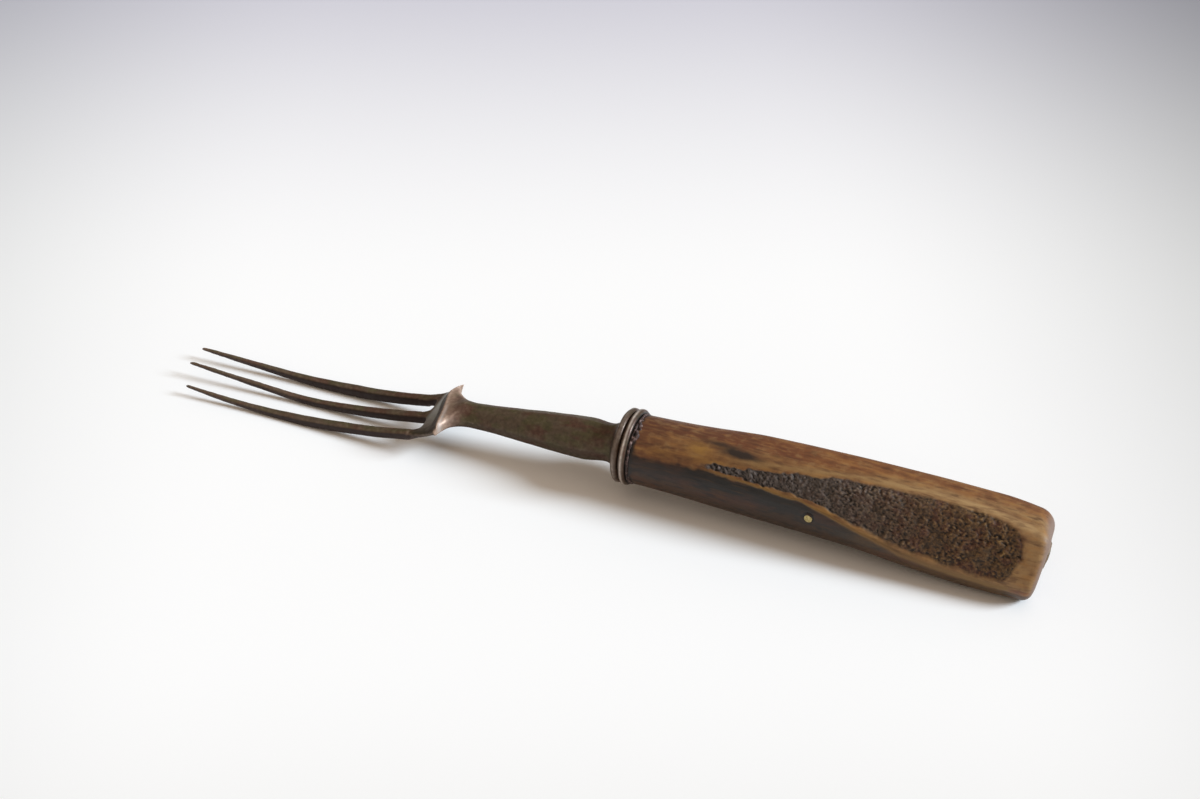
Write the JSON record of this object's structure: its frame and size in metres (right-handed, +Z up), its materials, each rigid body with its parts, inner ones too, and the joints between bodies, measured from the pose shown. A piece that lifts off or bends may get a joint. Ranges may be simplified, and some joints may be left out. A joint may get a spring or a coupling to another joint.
{
  "type": "table fork with antler handle",
  "caption": "Slim curved three-tine table fork of forged steel, with a double-bead bolster and a pinned stag antler handle.",
  "frame": {"origin": "on the table, below the middle of the fork's overall box", "axes": "+X runs from the tine tips to the butt, +Z is up as the fork lies, and the bark panel is on the -Y side"},
  "size_m": [0.1893, 0.0172, 0.0172],
  "materials": {
    "forged_steel": "hand forged and filed steel with a dark brown patina, worn bright on the shoulder's edge",
    "collar_steel": "turned steel with a brown patina, worn bright on the crowns of the beads",
    "cutlers_cement": "dark, crusty, matt",
    "stag_antler": "worked antler, softly polished by use, with a panel of rough natural bark",
    "pin_brass": "dull, filed nearly flush",
    "rove_steel": "hammered steel with brown rust"
  },
  "bodies": {
    "root": {"fork_forging": "forged_steel", "bolster_collar": "collar_steel", "tang_cement": "cutlers_cement", "antler_handle": "stag_antler", "cross_pin": "pin_brass", "butt_rove": "rove_steel"}
  },
  "joints": []
}
